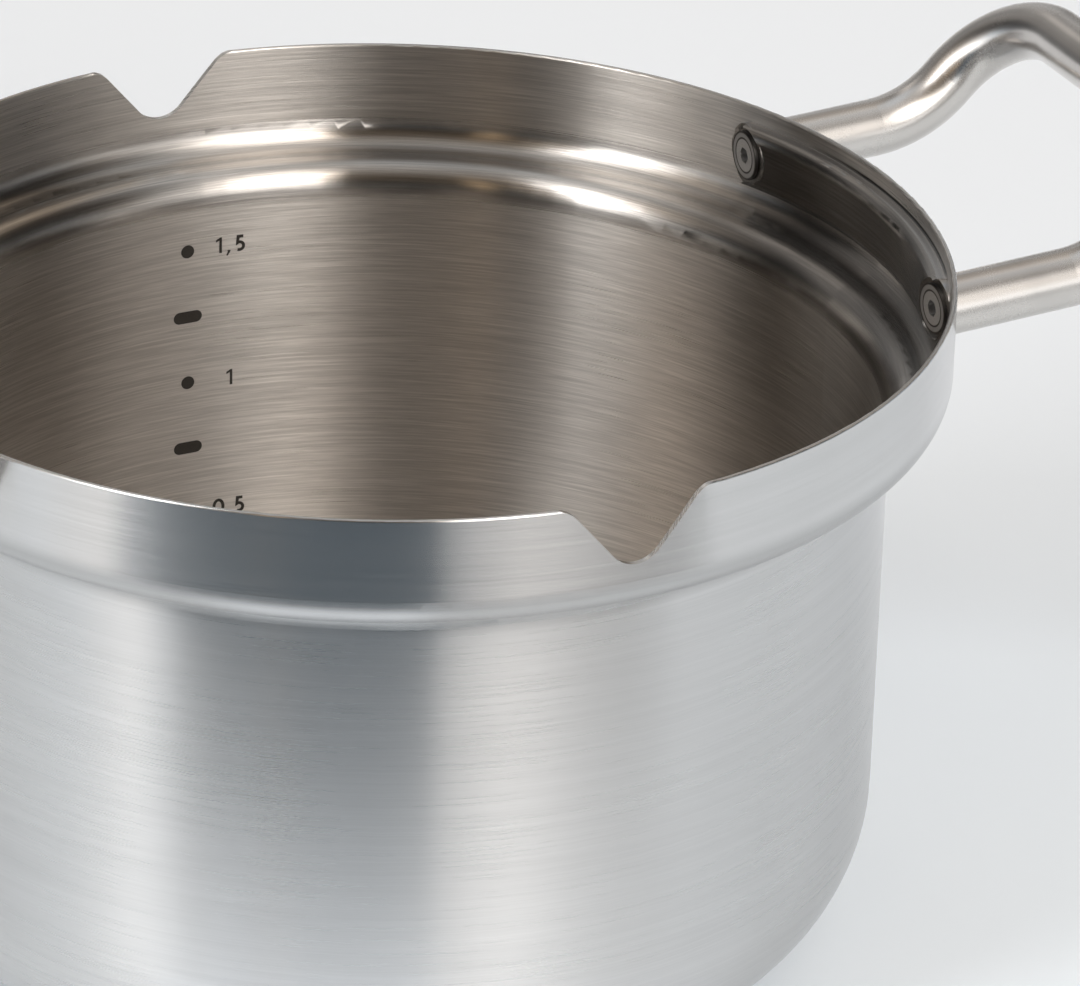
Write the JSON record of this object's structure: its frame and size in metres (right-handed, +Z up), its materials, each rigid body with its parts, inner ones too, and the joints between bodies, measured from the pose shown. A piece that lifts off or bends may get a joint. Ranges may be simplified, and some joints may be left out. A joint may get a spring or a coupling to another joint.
{
  "type": "milk pan",
  "caption": "Round steel milk pan with a wide collar, opposed pouring lips and a bent tube loop handle on each side.",
  "frame": {"origin": "middle of the underside, on the surface that the pan stands on", "axes": "+Z up through the pan's axis, X through the two handles, Y through the two pouring lips"},
  "size_m": [0.273, 0.1824, 0.1313],
  "materials": {
    "pan_steel": "brushed round the axis, inside and out",
    "base_steel": "fine turned",
    "core_aluminium": "plain",
    "handle_steel": "satin polished",
    "plug_steel": "turned",
    "screw_steel": "plain, slightly dull"
  },
  "bodies": {
    "root": {"pan_shell": "pan_steel", "base_core": "core_aluminium", "base_cap": "base_steel", "handle_right": "handle_steel", "handle_left": "handle_steel", "plug_right_back": "plug_steel", "plug_right_front": "plug_steel", "plug_left_back": "plug_steel", "plug_left_front": "plug_steel", "screw_right_back": "screw_steel", "screw_right_front": "screw_steel", "screw_left_back": "screw_steel", "screw_left_front": "screw_steel"}
  },
  "joints": []
}
